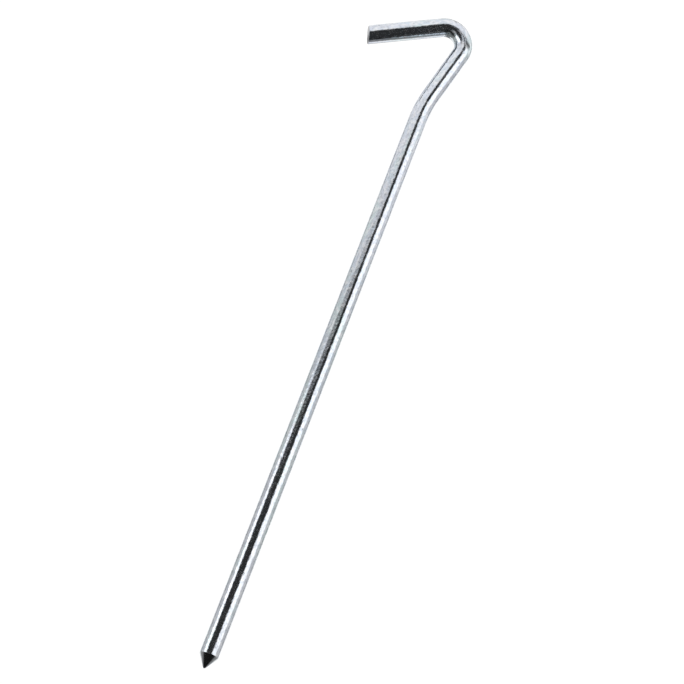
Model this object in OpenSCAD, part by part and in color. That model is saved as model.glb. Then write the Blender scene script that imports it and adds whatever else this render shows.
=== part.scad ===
// Bent round-wire tent stake.
// A single length of round steel wire: a short turned point, a long straight
// shank, a shallow set-back bend, a straight neck, and a tight hook whose
// straight arm comes back down over the shank and ends in a sheared face.
//
// Millimetres. The shank runs along Z with the point down. The origin is on
// the shank's axis at the top of its straight length, which is the soil line
// of a fully driven stake. The hook lies in the XZ plane and opens towards -X.

/* [Wire] */
// Diameter of the round wire
wire_d = 6; // [4:0.1:8]
// Overall length, from the end of the point to the crown of the hook
overall_len = 228.6; // [150:0.1:320]

/* [Point] */
// Length of the point, from its rim to its blunted end
point_len = 4.2; // [3:0.1:8]
// Radius of the blunted end of the point
point_r = 0.55; // [0.3:0.05:0.8]

/* [Neck] */
// Angle by which the neck leans away from the side the hook opens on, in degrees
neck_angle = 13.5; // [6:0.5:20]
// Centreline radius of the shallow bend between the shank and the neck
neck_r = 45; // [25:1:70]
// Straight length of the neck between its two bends
neck_len = 17; // [10:0.5:28]

/* [Hook] */
// Inside radius of the hook's bend
hook_r_in = 3; // [2:0.1:6]
// Angle that the hook's bend turns the wire through, in degrees
hook_angle = 132.4; // [105:0.1:140]
// Straight length of the arm, along its centreline, to the sheared end
arm_len = 24.3; // [16:0.1:32]
// Slant of the sheared end away from a square cut, in degrees
shear_angle = 9; // [0:0.5:14]

/* [Hidden] */
$fn = 96;

// The wire draws down by this much on its diameter where it is bent cold
DRAW_DOWN = 0.04;
// Each straight stretch keeps its full diameter for this far into a bend
RUN_IN = 0.25;
bend_d = wire_d - DRAW_DOWN;

// Centreline radius of the hook's bend
hook_r = hook_r_in + bend_d / 2;
// Height of each joint between the stretches above the soil line
neck_z = neck_r * sin(neck_angle);
neck_x = neck_r * (1 - cos(neck_angle));
bend_x = neck_x + neck_len * sin(neck_angle);
bend_z = neck_z + neck_len * cos(neck_angle);
// Crown of the hook: the highest point of the wire's outside
crown_z = bend_z + hook_r * sin(neck_angle) + hook_r + bend_d / 2;
// Straight length of the shank, what the other stretches leave of the overall length
shank_len = overall_len - crown_z - point_len;

// Half of the point's included angle, from the rim to where the blunt end begins
point_half = atan((wire_d / 2 - point_r) / (point_len - point_r));
// Steps round the blunted end
BLUNT_STEPS = 6;

// Profile of the point: rim, flank, then an arc that meets the axis square on
function blunt(i) = let (a = -90 + (90 - point_half) * i / BLUNT_STEPS)
    [point_r * cos(a), -point_len + point_r + point_r * sin(a)];
point_profile = concat(
    [[0, 0], [0, -point_len]],
    [for (i = [1 : BLUNT_STEPS]) blunt(i)],
    [[wire_d / 2, 0]]
);

// A straight stretch of wire along +Z, run in to the bend before it and the bend after it
module straight(len, before = 0, after = 0) {
    translate([0, 0, -before])
        cylinder(h = len + before + after, d = wire_d);
}

// A bend that starts at the origin along +Z and turns towards -X
module bend(r, angle) {
    translate([-r, 0, 0])
        rotate([90, 0, 0])
            rotate_extrude(angle = angle)
                translate([r, 0])
                    circle(d = bend_d);
}

// Places its children where the hook's bend begins, with +Z along the neck
module at_hook() {
    translate([bend_x, 0, bend_z])
        rotate([0, neck_angle, 0])
            children();
}

// Places its children where the arm begins, with +Z along the arm
module at_arm() {
    at_hook()
        translate([hook_r * (cos(hook_angle) - 1), 0, hook_r * sin(hook_angle)])
            rotate([0, -hook_angle, 0])
                children();
}

// The turned point below the shank
module point() {
    rotate_extrude()
        polygon(point_profile);
}

// The arm, cut off on a slant so that the side nearer the shank is the longer
module arm() {
    difference() {
        straight(arm_len + wire_d, before = RUN_IN);
        translate([0, 0, arm_len])
            rotate([0, shear_angle, 0])
                translate([-wire_d, -wire_d, 0])
                    cube([2 * wire_d, 2 * wire_d, 2 * wire_d]);
    }
}

// The whole stake is one continuous wire
module stake() {
    color([0.80, 0.82, 0.86])
        union() {
            translate([0, 0, -shank_len]) point();
            translate([0, 0, -shank_len]) straight(shank_len, after = RUN_IN);
            mirror([1, 0, 0]) bend(neck_r, neck_angle);
            translate([neck_x, 0, neck_z])
                rotate([0, neck_angle, 0])
                    straight(neck_len, before = RUN_IN, after = RUN_IN);
            at_hook() bend(hook_r, hook_angle);
            at_arm() arm();
        }
}

stake();
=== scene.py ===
import math

import bpy
import numpy as np
from mathutils import Matrix, Vector


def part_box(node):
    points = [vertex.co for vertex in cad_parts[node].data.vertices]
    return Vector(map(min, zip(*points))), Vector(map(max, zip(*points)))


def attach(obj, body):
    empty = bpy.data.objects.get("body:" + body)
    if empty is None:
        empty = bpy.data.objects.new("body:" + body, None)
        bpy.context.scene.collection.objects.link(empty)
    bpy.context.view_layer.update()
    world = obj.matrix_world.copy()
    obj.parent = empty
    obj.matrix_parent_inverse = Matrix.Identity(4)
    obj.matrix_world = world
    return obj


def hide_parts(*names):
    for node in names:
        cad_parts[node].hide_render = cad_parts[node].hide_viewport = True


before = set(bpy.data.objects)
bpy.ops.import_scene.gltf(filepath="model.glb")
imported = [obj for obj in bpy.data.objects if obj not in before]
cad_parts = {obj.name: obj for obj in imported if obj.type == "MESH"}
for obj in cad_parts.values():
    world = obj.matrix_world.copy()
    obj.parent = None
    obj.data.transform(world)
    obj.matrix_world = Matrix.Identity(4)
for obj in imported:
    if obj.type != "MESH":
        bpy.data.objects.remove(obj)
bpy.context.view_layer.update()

LOW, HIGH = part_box("stake")
MM = 0.001

# ---------------------------------------------------------------- camera
# The photograph's viewing angle: from in front, a little below the stake, rolled so that the shank leans to the right.
cam_data = bpy.data.cameras.new("camera")
cam_data.sensor_width = 36.0
cam_data.lens = 168.42105
cam_data.clip_start, cam_data.clip_end = 0.05, 60.0
camera = bpy.data.objects.new("camera", cam_data)
bpy.context.scene.collection.objects.link(camera)
CAM_AT = Vector((0.003189, -0.942674, -0.403345))
CAM_RIGHT = Vector((0.93221007, -0.11782886, 0.34219987))
CAM_UP = Vector((-0.36191766, -0.30349791, 0.88142194))
CAM_BACK = CAM_RIGHT.cross(CAM_UP)
camera.matrix_world = Matrix((
    (CAM_RIGHT.x, CAM_UP.x, CAM_BACK.x, CAM_AT.x),
    (CAM_RIGHT.y, CAM_UP.y, CAM_BACK.y, CAM_AT.y),
    (CAM_RIGHT.z, CAM_UP.z, CAM_BACK.z, CAM_AT.z),
    (0, 0, 0, 1),
))
bpy.context.scene.camera = camera
bpy.context.scene.view_settings.view_transform = "Standard"

# ---------------------------------------------------------------- the wire's centreline, in millimetres
R = (HIGH.y - LOW.y) / 2 / MM          # radius of the wire
TIP_Z = LOW.z / MM                     # end of the point
CROWN_Z = HIGH.z / MM                  # crown of the hook
POINT_LEN, POINT_R = 4.2, 0.55
NECK_R, NECK_A, NECK_L = 45.0, math.radians(13.5), 17.0
HOOK_R, HOOK_A = R - 0.02 + 3.0, math.radians(132.4)
ARM_L, SHEAR = 24.3, math.radians(9.0)
RIM_Z = TIP_Z + POINT_LEN
SHANK_L = -RIM_Z
S1 = SHANK_L                           # end of the shank
S2 = S1 + NECK_R * NECK_A              # end of the set-back bend
S3 = S2 + NECK_L                       # end of the neck
S4 = S3 + HOOK_R * HOOK_A              # end of the hook's bend
S5 = S4 + ARM_L                        # end of the arm, on the centreline


def centreline(s):
    """x, z and heading (from +Z towards +X) at each distance s from the point's rim."""
    s = np.asarray(s, float)
    x, z, h = np.zeros_like(s), RIM_Z + s, np.zeros_like(s)
    m = s > S1
    a = np.clip((s - S1) / NECK_R, 0, NECK_A)
    x[m], z[m], h[m] = (NECK_R * (1 - np.cos(a)))[m], (NECK_R * np.sin(a))[m], a[m]
    m = s > S2
    t = np.clip(s - S2, 0, NECK_L)
    bx, bz = NECK_R * (1 - math.cos(NECK_A)), NECK_R * math.sin(NECK_A)
    x[m], z[m] = (bx + t * math.sin(NECK_A))[m], (bz + t * math.cos(NECK_A))[m]
    m = s > S3
    b = np.clip((s - S3) / HOOK_R, 0, HOOK_A)
    cx = bx + NECK_L * math.sin(NECK_A) - HOOK_R * math.cos(NECK_A)
    cz = bz + NECK_L * math.cos(NECK_A) + HOOK_R * math.sin(NECK_A)
    x[m] = (cx + HOOK_R * np.cos(b - NECK_A))[m]
    z[m] = (cz + HOOK_R * np.sin(b - NECK_A))[m]
    h[m] = (NECK_A - b)[m]
    m = s > S4
    t = s - S4
    x[m] += (t * math.sin(NECK_A - HOOK_A))[m]
    z[m] += (t * math.cos(NECK_A - HOOK_A))[m]
    return x, z, h


# ---------------------------------------------------------------- smooth repeatable waviness
def waves(u, v, seed, count, low, high):
    """A sum of slow waves over s (u, mm) and the angle round the wire (v), between -1 and 1."""
    rng = np.random.default_rng(seed)
    total = np.zeros(np.broadcast(u, v).shape)
    for _ in range(count):
        length = low * (high / low) ** rng.random()
        k = rng.integers(0, 5)
        total = total + np.sin(2 * math.pi * u / length + k * v + rng.random() * 6.283)
    return total / math.sqrt(count) / 1.6


def bump(s, centre, half):
    """1 at the centre, falling smoothly to 0 at half a width either side."""
    t = np.clip(1 - np.abs(s - centre) / half, 0, 1)
    return t * t * (3 - 2 * t)


def step(x, a, b):
    t = np.clip((x - a) / (b - a), 0, 1)
    return t * t * (3 - 2 * t)


# ---------------------------------------------------------------- rings of the mesh
AROUND = 96
theta = np.arange(AROUND) * 2 * math.pi / AROUND     # 0 on the outside of the hook's bend (+X on the shank), 90 degrees at +Y
ct, st = np.cos(theta), np.sin(theta)

rings, marks = [], []          # ring points (AROUND, 3) in mm; per ring: (wire coordinates, point mask, cut mask)


def add_ring(points, wire, point=0.0, cut=0.0):
    rings.append(points)
    marks.append((wire, np.broadcast_to(np.asarray(point, float), (AROUND,)), np.broadcast_to(np.asarray(cut, float), (AROUND,))))


# the point: blunted nose, coned flank with turning rings, then the rim
half = math.atan((R - POINT_R) / (POINT_LEN - POINT_R))
nose_end = math.radians(-90) + (math.radians(90) - half)
profile = []
for i in range(1, 15):
    a = math.radians(-90) + (nose_end + math.radians(90)) * i / 14
    profile.append((POINT_R * math.cos(a), -POINT_LEN + POINT_R + POINT_R * math.sin(a)))
r0, z0 = profile[-1]
FLANK = 72
for i in range(1, FLANK):
    t = i / FLANK
    profile.append((r0 + (R - r0) * t, z0 * (1 - t)))
run = 0.0
last = (0.0, -POINT_LEN)
for n, (r, z) in enumerate(profile):
    run += math.hypot(r - last[0], z - last[1])
    last = (r, z)
    on_flank = step(np.array(r), POINT_R, POINT_R + 0.25) * (1 - step(np.array(r), R - 0.22, R - 0.08))
    groove = 0.5 - 0.5 * math.cos(2 * math.pi * run / 0.34)
    flat = 0.5 + 0.5 * waves(run, theta, 11, 6, 1.2, 5.0)
    cutback = on_flank * (0.0035 * groove + 0.010 * flat) + 0.012 * (1 - on_flank) * flat
    # the nose is worn a little to one side
    cutback = cutback + 0.05 * (1 - step(np.array(r), 0.25, 0.9)) * (0.5 + 0.5 * np.cos(theta - 0.9))
    # the rim is turned over in a small uneven radius
    edge = (R - r) / 0.12
    soft = 0.020 * np.clip(1 - edge, 0, 1) ** 2 * (1 + 0.35 * waves(0.0, theta, 12, 5, 3.0, 9.0))
    rr = r - cutback * math.cos(half) - soft
    zz = RIM_Z + z + cutback * math.sin(half) + soft * 0.4
    pts = np.stack([rr * ct, rr * st, np.broadcast_to(zz, (AROUND,))], -1)
    add_ring(pts, np.stack([r * ct, r * st, np.full(AROUND, z)], -1), point=1.0)

# the wire itself, to the start of the sheared end
spacing = []


def span(a, b, gap):
    n = max(1, int(math.ceil((b - a) / gap)))
    spacing.extend(list(a + (b - a) * np.arange(n) / n))


spacing.extend([0.0, 0.03, 0.06, 0.10, 0.16, 0.24, 0.40, 0.7])
span(1.1, S1 - 2, 0.62)
span(S1 - 2, S2 + 2, 0.42)
span(S2 + 2, S3 - 3, 0.5)
span(S3 - 3, S4 + 3, 0.17)
span(S4 + 3, S5 - 4, 0.45)
span(S5 - 4, S5 - 1.1, 0.24)
body = np.array(spacing)
cx, cz, heading = centreline(body)
for s, x, z, h in zip(body, cx, cz, heading):
    in_hook = step(np.array(s), S3 - 1.5, S3 + 2.5) * (1 - step(np.array(s), S4 - 2.5, S4 + 1.5))
    in_neck = step(np.array(s), S1 - 3, S1 + 2) * (1 - step(np.array(s), S2 - 2, S2 + 3))
    # long, slight waviness of drawn and straightened wire, always inward
    inward = 0.008 * (0.5 + 0.5 * waves(s, theta, 21, 9, 9.0, 60.0)) + 0.004 * (0.5 + 0.5 * waves(s, theta, 22, 12, 1.6, 6.0))
    # the hook: the outside is stretched flatter, the inside is compressed with faint ripples
    outside, inside = np.clip(ct, 0, 1), np.clip(-ct, 0, 1)
    inward = inward + in_hook * (0.006 + 0.010 * outside ** 3 + 0.018 * inside ** 2 * (0.5 + 0.5 * np.sin(2 * math.pi * (s - S3) / 1.15)))
    inward = inward + in_neck * (0.020 + 0.012 * inside ** 2)
    # the bending tool's shallow marks: on the inside of the hook, and on the outside either side of the bend
    for at, where, depth, wide in ((S3 - 2.2, ct, 0.026, 2.6), (S4 + 2.4, ct, 0.030, 2.8), (S1 - 3.5, -ct, 0.030, 3.4), (S2 + 3.5, -ct, 0.030, 3.4), ((S3 + S4) / 2, -ct, 0.030, 5.0)):
        inward = inward + depth * bump(np.array(s), at, wide) * np.clip(where - 0.86, 0, 1) / 0.14
    inward = inward + 0.014 * np.clip(1 - s / 0.16, 0, 1) ** 2
    tilt = step(np.array(s), S5 - 8, S5 - 1.1)
    r = R - inward
    lx, ly, lz = r * ct, r * st, -r * ct * math.tan(SHEAR) * tilt * (1.0 if s > S4 else 0.0)
    cosh, sinh = math.cos(h), math.sin(h)
    pts = np.stack([x + lx * cosh + lz * sinh, ly, z - lx * sinh + lz * cosh], -1)
    add_ring(pts, np.stack([R * ct, R * st, np.full(AROUND, s)], -1), point=float(np.clip(1 - s / 0.08, 0, 1)))

# the sheared end: rolled over where the blade went in (outside), sharp where the metal broke away (inside)
ex, ez, eh = [float(v[0]) for v in centreline([S5])]
cosh, sinh = math.cos(eh), math.sin(eh)
lead = 0.5 + 0.5 * ct                                   # 1 on the side where the blade went in
roll_r = 0.08 + 0.30 * lead ** 2
roll_z = 0.06 + 0.20 * lead ** 2
base_in = 0.008 * (0.5 + 0.5 * waves(S5, theta, 21, 9, 9.0, 60.0))
for q in (0.78, 0.52, 0.30):
    r = R - base_in - 0.012 * (1 - q) * lead
    lz = -1.1 * q - roll_z * (1 - q) * 0.9 - r * ct * math.tan(SHEAR)
    pts = np.stack([ex + r * ct * cosh + lz * sinh, r * st, ez - r * ct * sinh + lz * cosh], -1)
    add_ring(pts, np.stack([R * ct, R * st, np.full(AROUND, S5 - 1.1 * q)], -1))
for i in range(0, 9):
    a = math.radians(90) * i / 8
    r = R - base_in - 0.010 * lead - roll_r * (1 - math.cos(a))
    lz = -roll_z * (1 - math.sin(a)) - r * ct * math.tan(SHEAR) - 0.02
    pts = np.stack([ex + r * ct * cosh + lz * sinh, r * st, ez - r * ct * sinh + lz * cosh], -1)
    add_ring(pts, np.stack([r * ct, r * st, S5 + np.full(AROUND, 0.0)], -1), cut=i / 8)
face = [0.97, 0.93, 0.88, 0.82, 0.75, 0.67, 0.58, 0.48, 0.38, 0.28, 0.19, 0.10]
for f in face:
    r = (R - base_in - 0.010 * lead - roll_r) * f
    fx, fy = r * ct, r * st
    burnish = step(fx, -0.35, 0.15)                      # the smooth sheared zone; the rest broke and is rough
    rough = 0.5 + 0.5 * (np.sin(5.1 * fx + 2.3 * fy) * np.sin(4.3 * fy - 1.7 * fx + 1.0) * 0.6 + np.sin(11.0 * fy + 3.0 * fx) * 0.4)
    dish = 0.055 * (1 - burnish) * rough * step(1 - np.array(f), 0.0, 0.12) + 0.05 * (1 - burnish) * step(1 - np.array(f), 0.0, 0.2)
    lz = -0.02 - dish - r * ct * math.tan(SHEAR)
    pts = np.stack([ex + fx * cosh + lz * sinh, fy, ez - fx * sinh + lz * cosh], -1)
    add_ring(pts, np.stack([fx, fy, np.full(AROUND, S5)], -1), cut=1.0)

N = len(rings)
verts = np.concatenate([[[0.0, 0.0, TIP_Z + 0.012]], np.concatenate(rings), [[ex + (-0.03) * sinh, 0.0, ez + (-0.03) * cosh]]])
low, high = np.array(LOW) / MM, np.array(HIGH) / MM
verts = np.clip(verts, low, high) * MM
faces = []
for j in range(AROUND):
    k = (j + 1) % AROUND
    faces.append((0, 1 + k, 1 + j))
    faces.append((len(verts) - 1, 1 + (N - 1) * AROUND + j, 1 + (N - 1) * AROUND + k))
for i in range(N - 1):
    for j in range(AROUND):
        k = (j + 1) % AROUND
        a = 1 + i * AROUND
        faces.append((a + j, a + k, a + AROUND + k, a + AROUND + j))
mesh = bpy.data.meshes.new("stake_wire")
mesh.from_pydata([tuple(v) for v in verts], [], faces)
mesh.validate()
mesh.polygons.foreach_set("use_smooth", [True] * len(mesh.polygons))
wire = np.concatenate([[[0, 0, -POINT_LEN]], np.concatenate([m[0] for m in marks]), [[0, 0, S5]]])
at = mesh.attributes.new("wire", "FLOAT_VECTOR", "POINT")
at.data.foreach_set("vector", wire.astype(np.float32).ravel())
for name, n, first, last in (("point", 1, 1.0, 0.0), ("cut", 2, 0.0, 1.0)):
    at = mesh.attributes.new(name, "FLOAT", "POINT")
    at.data.foreach_set("value", np.concatenate([[first], np.concatenate([m[n] for m in marks]), [last]]).astype(np.float32))
mesh.update()
stake = bpy.data.objects.new("stake_wire", mesh)
bpy.context.scene.collection.objects.link(stake)


# ---------------------------------------------------------------- node helpers
def link(tree, a, b):
    tree.links.new(a, b)


class Nodes:
    """Small helper that adds nodes to one tree."""

    def __init__(self, tree):
        self.t = tree

    def put(self, socket, value):
        if hasattr(value, "links") or isinstance(value, bpy.types.NodeSocket):
            self.t.links.new(value, socket)
        else:
            socket.default_value = value

    def math(self, op, a, b=None, c=None, clamp=False):
        n = self.t.nodes.new("ShaderNodeMath")
        n.operation, n.use_clamp = op, clamp
        for i, v in enumerate((a, b, c)):
            if v is not None:
                self.put(n.inputs[i], v)
        return n.outputs[0]

    def vmath(self, op, a, b=None, scale=None):
        n = self.t.nodes.new("ShaderNodeVectorMath")
        n.operation = op
        self.put(n.inputs[0], a)
        if b is not None:
            self.put(n.inputs[1], b)
        if scale is not None:
            self.put(n.inputs["Scale"], scale)
        return n.outputs["Value"] if op in ("DOT_PRODUCT", "LENGTH", "DISTANCE") else n.outputs["Vector"]

    def ramp(self, x, a, b, lo=0.0, hi=1.0, smooth=True):
        n = self.t.nodes.new("ShaderNodeMapRange")
        n.interpolation_type = "SMOOTHSTEP" if smooth else "LINEAR"
        self.put(n.inputs["Value"], x)
        n.inputs["From Min"].default_value, n.inputs["From Max"].default_value = a, b
        n.inputs["To Min"].default_value, n.inputs["To Max"].default_value = lo, hi
        return n.outputs["Result"]

    def noise(self, vector, scale, detail=2.0, rough=0.5, distortion=0.0):
        n = self.t.nodes.new("ShaderNodeTexNoise")
        n.noise_dimensions = "3D"
        self.put(n.inputs["Vector"], vector)
        n.inputs["Scale"].default_value = scale
        n.inputs["Detail"].default_value = detail
        n.inputs["Roughness"].default_value = rough
        n.inputs["Distortion"].default_value = distortion
        return n.outputs["Fac"]

    def voronoi(self, vector, scale, randomness=1.0):
        n = self.t.nodes.new("ShaderNodeTexVoronoi")
        self.put(n.inputs["Vector"], vector)
        n.inputs["Scale"].default_value = scale
        n.inputs["Randomness"].default_value = randomness
        return n.outputs["Distance"], n.outputs["Color"]

    def mix(self, fac, a, b, kind="RGBA", blend="MIX"):
        n = self.t.nodes.new("ShaderNodeMix")
        n.data_type = kind
        if kind == "RGBA":
            n.blend_type = blend
            ia, ib, out = n.inputs[6], n.inputs[7], n.outputs[2]
        else:
            ia, ib, out = n.inputs[2], n.inputs[3], n.outputs[0]
        self.put(n.inputs[0], fac)
        self.put(ia, a)
        self.put(ib, b)
        return out

    def bump(self, height, strength, distance, normal=None):
        n = self.t.nodes.new("ShaderNodeBump")
        n.inputs["Strength"].default_value = strength
        n.inputs["Distance"].default_value = distance
        self.put(n.inputs["Height"], height)
        if normal is not None:
            self.put(n.inputs["Normal"], normal)
        return n.outputs["Normal"]


# ---------------------------------------------------------------- bright zinc plate on drawn wire
def zinc():
    mat = bpy.data.materials.new("zinc_plated_wire")
    mat.use_nodes = True
    tree = mat.node_tree
    tree.nodes.clear()
    k = Nodes(tree)
    out = tree.nodes.new("ShaderNodeOutputMaterial")
    shader = tree.nodes.new("ShaderNodeBsdfPrincipled")
    link(tree, shader.outputs[0], out.inputs[0])
    shader.inputs["Metallic"].default_value = 1.0
    at = tree.nodes.new("ShaderNodeAttribute")
    at.attribute_name = "wire"
    p = at.outputs["Vector"]                       # millimetres: across, across, along
    ap = tree.nodes.new("ShaderNodeAttribute")
    ap.attribute_name = "point"
    point = ap.outputs["Fac"]
    ac = tree.nodes.new("ShaderNodeAttribute")
    ac.attribute_name = "cut"
    cut = ac.outputs["Fac"]
    wirebody = k.math("SUBTRACT", 1.0, k.math("ADD", point, cut, clamp=True), clamp=True)

    lines = k.noise(k.vmath("MULTIPLY", p, (1.0, 1.0, 0.035)), 3.2, 3.0, 0.6)          # drawing lines
    fine = k.noise(k.vmath("MULTIPLY", p, (1.0, 1.0, 0.06)), 9.0, 2.0, 0.6)            # finer drawing lines
    mottle = k.noise(k.vmath("MULTIPLY", p, (1.0, 1.0, 0.60)), 1.15, 1.5, 0.50, 0.2)    # orange peel of the plate
    speck = k.noise(k.vmath("ADD", k.vmath("MULTIPLY", p, (1.0, 1.0, 0.75)), (5.0, 9.0, 3.0)), 1.9, 1.0, 0.5)   # crystal patches
    dashes = k.noise(k.vmath("ADD", k.vmath("MULTIPLY", p, (1.0, 1.0, 0.26)), (11.0, 2.0, 5.0)), 1.9, 1.0, 0.5)   # short streaks of the drawing die
    grain = k.noise(p, 6.5, 2.0, 0.6)
    cloud = k.noise(k.vmath("MULTIPLY", p, (1.0, 1.0, 0.30)), 0.34, 2.0, 0.5)           # patches of passivation
    tint = k.noise(k.vmath("ADD", k.vmath("MULTIPLY", p, (1.0, 1.0, 0.22)), (41.0, 13.0, 7.0)), 0.30, 1.0, 0.5)
    small = k.noise(k.vmath("ADD", k.vmath("MULTIPLY", p, (1.0, 1.0, 0.45)), (17.0, 3.0, 29.0)), 0.95, 1.0, 0.5)

    sp = tree.nodes.new("ShaderNodeSeparateXYZ")
    link(tree, p, sp.inputs[0])
    along = sp.outputs[2]

    # colour: bluish bright zinc with faint lavender and pale green clouds
    blue, lavender, green = (0.735, 0.825, 0.930, 1), (0.775, 0.815, 0.925, 1), (0.740, 0.865, 0.885, 1)
    colour = k.mix(k.ramp(cloud, 0.40, 0.60), blue, lavender)
    colour = k.mix(k.ramp(along, 90.0, 25.0, 0.0, 0.45), colour, (0.80, 0.83, 0.875, 1))
    colour = k.mix(k.ramp(tint, 0.50, 0.64), colour, green)
    colour = k.mix(k.ramp(small, 0.55, 0.72, 0.0, 0.6), colour, (0.87, 0.83, 0.86, 1))
    colour = k.mix(k.ramp(lines, 0.30, 0.70, 0.0, 0.40), colour, (0.62, 0.65, 0.69, 1))
    colour = k.mix(k.ramp(dashes, 0.50, 0.68, 0.0, 0.60), colour, (0.56, 0.59, 0.63, 1))
    colour = k.mix(k.ramp(speck, 0.50, 0.68, 0.0, 0.62), colour, (0.54, 0.57, 0.61, 1))
    colour = k.mix(k.ramp(mottle, 0.48, 0.64, 0.0, 0.60), colour, (0.96, 0.97, 0.99, 1))

    # small dark pits where the plate missed
    far, cell = k.voronoi(k.vmath("MULTIPLY", p, (1.0, 1.0, 0.7)), 0.55)
    sep = tree.nodes.new("ShaderNodeSeparateColor")
    link(tree, cell, sep.inputs[0])
    chosen = k.math("GREATER_THAN", sep.outputs[0], 0.86)
    pit = k.math("MULTIPLY", chosen, k.ramp(far, 0.24, 0.10))
    pit = k.math("MULTIPLY", pit, wirebody)
    colour = k.mix(k.math("MULTIPLY", pit, 0.65), colour, (0.30, 0.31, 0.34, 1))

    # handling scuffs: short slanting scratches in patches
    slant = k.vmath("MULTIPLY", k.vmath("ADD", p, (3.0, 0.0, 0.0)), (1.0, 1.0, 0.25))
    scratch = k.ramp(k.noise(slant, 7.5, 1.0, 0.5, 0.6), 0.66, 0.74)
    patch = k.ramp(k.noise(p, 0.09, 2.0, 0.5), 0.50, 0.62)
    scuff = k.math("MULTIPLY", k.math("MULTIPLY", scratch, patch), wirebody)

    # wear: soil has dulled the first part above the point, and the cord's seat inside the hook is rubbed even
    soil = k.math("MULTIPLY", k.ramp(along, 55.0, 2.0), k.ramp(k.noise(k.vmath("MULTIPLY", p, (1, 1, 0.4)), 0.8, 3.0, 0.6), 0.42, 0.66))
    seat = k.math("MULTIPLY", k.math("MULTIPLY", k.ramp(along, S3 + 4.0, S3 + 9.0), k.ramp(along, S4 + 17.0, S4 + 9.0)), k.ramp(sp.outputs[0], -0.3, -1.7))

    # the turned point: rings round the axis, and a greyer plate
    rings_h = k.noise(k.vmath("MULTIPLY", p, (0.0, 0.0, 1.0)), 5.0, 2.0, 0.7)
    colour = k.mix(k.math("MULTIPLY", point, 0.45), colour, (0.64, 0.65, 0.66, 1))
    # the sheared face: drawn down across it in the direction of the blade
    drag = k.noise(k.vmath("MULTIPLY", p, (0.25, 1.0, 1.0)), 4.5, 3.0, 0.6)
    torn = k.ramp(sp.outputs[0], 0.2, -0.5)
    cut_colour = k.mix(drag, (0.32, 0.325, 0.34, 1), (0.50, 0.505, 0.52, 1))
    cut_colour = k.mix(k.math("MULTIPLY", torn, 0.55), cut_colour, (0.20, 0.195, 0.195, 1))
    colour = k.mix(cut, colour, cut_colour)
    k.put(shader.inputs["Base Color"], colour)

    # roughness
    rough = k.ramp(mottle, 0.30, 0.70, 0.085, 0.125, smooth=False)
    rough = k.math("ADD", rough, k.ramp(fine, 0.35, 0.75, 0.0, 0.025))
    rough = k.math("ADD", rough, k.ramp(speck, 0.55, 0.75, 0.0, 0.10))
    rough = k.math("ADD", rough, k.math("MULTIPLY", scuff, 0.18))
    rough = k.math("ADD", rough, k.math("MULTIPLY", soil, 0.04))
    rough = k.math("ADD", rough, k.math("MULTIPLY", seat, 0.07))
    rough = k.math("ADD", rough, k.math("MULTIPLY", pit, 0.25))
    rough = k.mix(point, rough, 0.125, kind="FLOAT")
    rough = k.mix(cut, rough, k.ramp(torn, 0.0, 1.0, 0.30, 0.52), kind="FLOAT")
    k.put(shader.inputs["Roughness"], rough)

    # bump: lines, orange peel, grain, scratches, pits; rings on the point; drag on the sheared face
    height = k.math("MULTIPLY", lines, 0.28)
    height = k.math("ADD", height, k.math("MULTIPLY", fine, 0.05))
    height = k.math("ADD", height, k.math("MULTIPLY", mottle, 2.20))
    height = k.math("ADD", height, k.math("MULTIPLY", speck, 1.00))
    height = k.math("ADD", height, k.math("MULTIPLY", grain, 0.05))
    height = k.math("SUBTRACT", height, k.math("MULTIPLY", scuff, 0.20))
    height = k.math("SUBTRACT", height, k.math("MULTIPLY", pit, 0.8))
    height = k.math("MULTIPLY", height, wirebody)
    height = k.math("MULTIPLY", height, k.ramp(along, 60.0, 130.0, 1.0, 0.78))
    height = k.math("MULTIPLY", height, k.ramp(seat, 0.0, 1.0, 1.0, 0.35))
    height = k.math("ADD", height, k.math("MULTIPLY", k.math("MULTIPLY", rings_h, point), 0.40))
    height = k.math("ADD", height, k.math("MULTIPLY", k.math("MULTIPLY", drag, cut), 1.6))
    k.put(shader.inputs["Normal"], k.bump(height, 1.0, 0.022 * MM))
    return mat


stake.data.materials.append(zinc())
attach(stake, "root")
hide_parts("stake")

# ---------------------------------------------------------------- pale floor, fading into the white of the studio
fm = bpy.data.meshes.new("floor")
fm.from_pydata([(-14, -14, -0.52), (14, -14, -0.52), (14, 14, -0.52), (-14, 14, -0.52)], [], [(0, 1, 2, 3)])
floor = bpy.data.objects.new("floor", fm)
bpy.context.scene.collection.objects.link(floor)
floor_mat = bpy.data.materials.new("floor_pale")
floor_mat.use_nodes = True
ft = floor_mat.node_tree
fs = ft.nodes["Principled BSDF"]
fn = Nodes(ft)
ftc = ft.nodes.new("ShaderNodeTexCoord")
away = fn.vmath("LENGTH", ftc.outputs["Object"])
fn.put(fs.inputs["Base Color"], fn.mix(fn.ramp(away, 0.6, 4.5), (0.84, 0.845, 0.855, 1), (1.0, 1.0, 1.0, 1)))
fs.inputs["Roughness"].default_value = 0.9
fs.inputs["Specular IOR Level"].default_value = 0.0
floor.data.materials.append(floor_mat)
floor.visible_glossy = False

# ---------------------------------------------------------------- studio light
# A plain white room lights everything softly.
world = bpy.data.worlds.new("studio")
bpy.context.scene.world = world
world.use_nodes = True
white = world.node_tree.nodes["Background"]
white.inputs["Color"].default_value = (1, 1, 1, 1)
white.inputs["Strength"].default_value = 1.06

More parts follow.
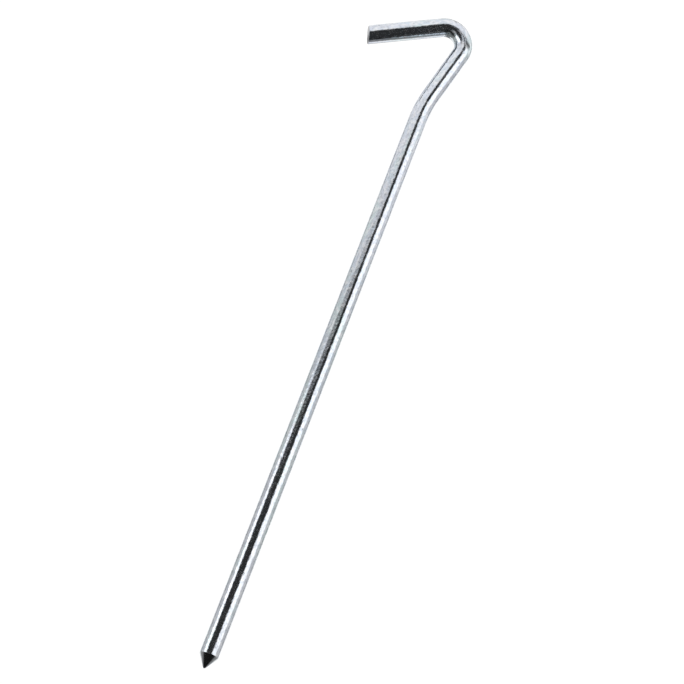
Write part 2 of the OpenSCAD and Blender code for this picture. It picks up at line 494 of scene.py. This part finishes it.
# The bright metal mirrors a plain studio round it, seen only in reflections: grey walls, soft boxes in front and behind, a ceiling
# light, a black flag with its stand and boom, and black cloth in front and below. All of it is neutral, so every tint belongs to
# the zinc. Each card is upright and set by its direction from the middle of the stake: az 0 is straight in front (-Y) and 90
# to the right (+X), el is above the horizon. Card: az, el, half width, half height, soft edge (degrees), brightness.
WALL_LOW, WALL_HIGH = 0.20, 0.60
WALL_FROM, WALL_TO = -40, -15
CARDS = [
    (0, 60, 200, 35, 20, 0.95),      # ceiling light
    (155, 10, 15, 40, 10, 1.00),     # back soft boxes
    (-155, 10, 15, 40, 10, 1.00),
    (180, 10, 10, 50, 10, 0.15),     # black drape between them
    (125, 0, 5, 60, 10, 0.25),       # dark gaps beside them
    (-125, 0, 5, 60, 10, 0.25),
    (-60, -5, 15, 20, 10, 1.60),     # left soft box
    (50, 10, 25, 20, 15, 1.30),      # right soft box
    (-10, 0, 35, 20, 15, 0.03),      # black flag round the camera
    (10, 20, 15, 15, 10, 0.03),      # its stand
    (50, 40, 35, 5, 10, 0.05),       # boom from the stand, over the right soft box
    (25, -30, 35, 30, 10, 0.03),     # black cloth hanging below the flag
    (0, -55, 90, 15, 15, 0.01),      # black cloth on the table in front
]
TENT_R = 0.85
CENTRE = Vector((0.0, 0.0, (LOW.z + HIGH.z) / 2))
tv, tf = [], []
TU, TV = 96, 48
for i in range(TV + 1):
    e = math.pi * (i / TV - 0.5)
    for j in range(TU):
        a = 2 * math.pi * j / TU
        tv.append((TENT_R * math.cos(e) * math.sin(a), -TENT_R * math.cos(e) * math.cos(a), TENT_R * math.sin(e)))
for i in range(TV):
    for j in range(TU):
        k2 = (j + 1) % TU
        tf.append((i * TU + j, i * TU + k2, (i + 1) * TU + k2, (i + 1) * TU + j))
tm = bpy.data.meshes.new("light_tent")
tm.from_pydata(tv, [], tf)
tent = bpy.data.objects.new("light_tent", tm)
tent.location = CENTRE
bpy.context.scene.collection.objects.link(tent)
tent.visible_camera = False
tent.visible_diffuse = False
tent.visible_shadow = False
tent.visible_transmission = False
tent_mat = bpy.data.materials.new("light_tent")
tent_mat.use_nodes = True
tent_mat.cycles.emission_sampling = "NONE"
wt = tent_mat.node_tree
wt.nodes.clear()
w = Nodes(wt)
tc = wt.nodes.new("ShaderNodeTexCoord")
xyz = wt.nodes.new("ShaderNodeSeparateXYZ")
link(wt, w.vmath("NORMALIZE", tc.outputs["Object"]), xyz.inputs[0])
az = w.math("MULTIPLY", w.math("ARCTAN2", xyz.outputs[0], w.math("MULTIPLY", xyz.outputs[1], -1.0)), 180 / math.pi)
el = w.math("MULTIPLY", w.math("ARCSINE", xyz.outputs[2]), 180 / math.pi)
light = w.ramp(el, WALL_FROM, WALL_TO, WALL_LOW, WALL_HIGH)
for a, e, hw, hh, soft, bright in CARDS:
    u = w.math("ABSOLUTE", w.math("WRAP", w.math("SUBTRACT", az, float(a)), 180.0, -180.0))
    v = w.math("ABSOLUTE", w.math("SUBTRACT", el, float(e)))
    m = w.math("MULTIPLY", w.ramp(u, hw + soft / 2, hw - soft / 2), w.ramp(v, hh + soft / 2, hh - soft / 2))
    light = w.mix(m, light, bright, kind="FLOAT")
glow = wt.nodes.new("ShaderNodeEmission")
link(wt, light, glow.inputs["Strength"])
wo = wt.nodes.new("ShaderNodeOutputMaterial")
link(wt, glow.outputs[0], wo.inputs[0])
tent.data.materials.append(tent_mat)
